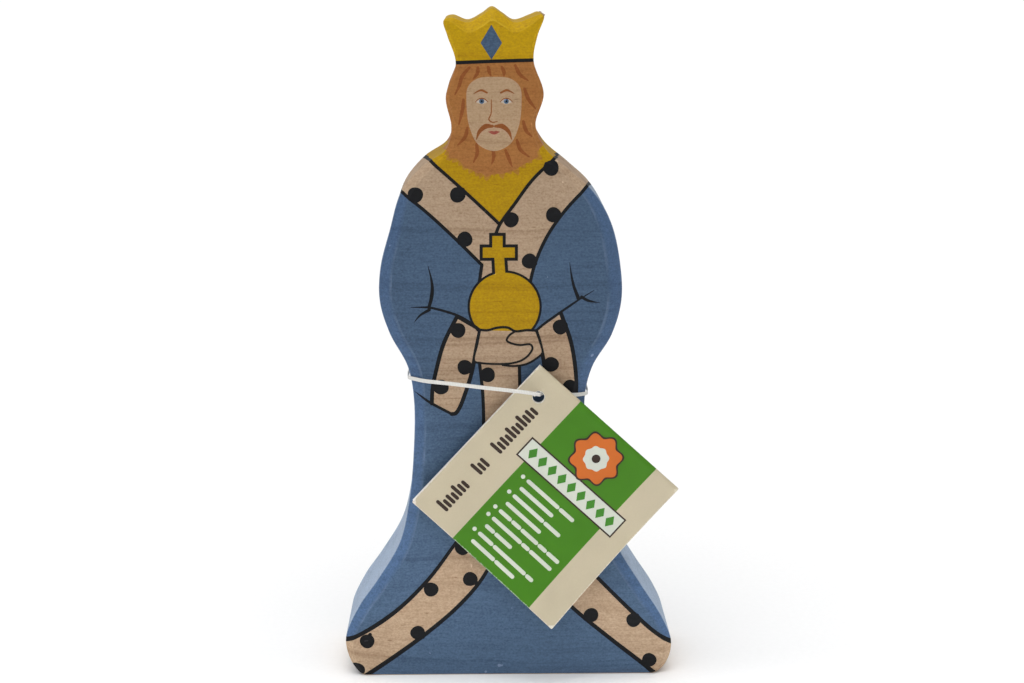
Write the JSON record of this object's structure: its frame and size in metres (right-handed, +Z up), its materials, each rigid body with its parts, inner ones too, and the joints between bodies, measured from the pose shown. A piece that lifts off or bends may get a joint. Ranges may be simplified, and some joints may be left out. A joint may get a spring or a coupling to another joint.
{
  "type": "wooden king figure",
  "caption": "Flat standing king figure sawn from a wooden block and painted, with a folded card tag on an elastic loop round its waist.",
  "frame": {"origin": "middle of the flat foot, under the figure's bounding box", "axes": "+Z up the figure to its crown, -Y the way the king faces, +X to the right of someone who looks at its face"},
  "size_m": [0.065, 0.0297, 0.13],
  "materials": {
    "painted_maple": "translucent matt stain on sanded maple",
    "elastic_cord": "braided, matt",
    "tag_card": "printed card, satin"
  },
  "bodies": {
    "root": {"wooden_figure": "painted_maple", "elastic_left": "elastic_cord", "elastic_right": "elastic_cord", "elastic_knot": "elastic_cord"},
    "tag_loop": {"elastic_bight": "elastic_cord"},
    "tag_back": {"tag_back_leaf": "tag_card"},
    "tag_front": {"tag_front_leaf": "tag_card"}
  },
  "joints": [
    {"name": "tag_lift", "type": "hinge", "parent": "root", "child": "tag_loop", "pos_m": [0.00597, -0.0126, 0.064], "axis": [-1, 0, 0], "range_deg": [0, 110], "deforming": ["elastic_left", "elastic_right"]},
    {"name": "tag_swing", "type": "hinge", "parent": "tag_loop", "child": "tag_back", "pos_m": [0.00597, -0.013, 0.05774], "axis": [0, -1, 0], "range_deg": [-38, 38]},
    {"name": "leaf_open", "type": "hinge", "parent": "tag_back", "child": "tag_front", "pos_m": [0.0059, -0.01305, 0.0635], "axis": [-0.7373, 0, 0.6756], "range_deg": [0, 10]}
  ]
}
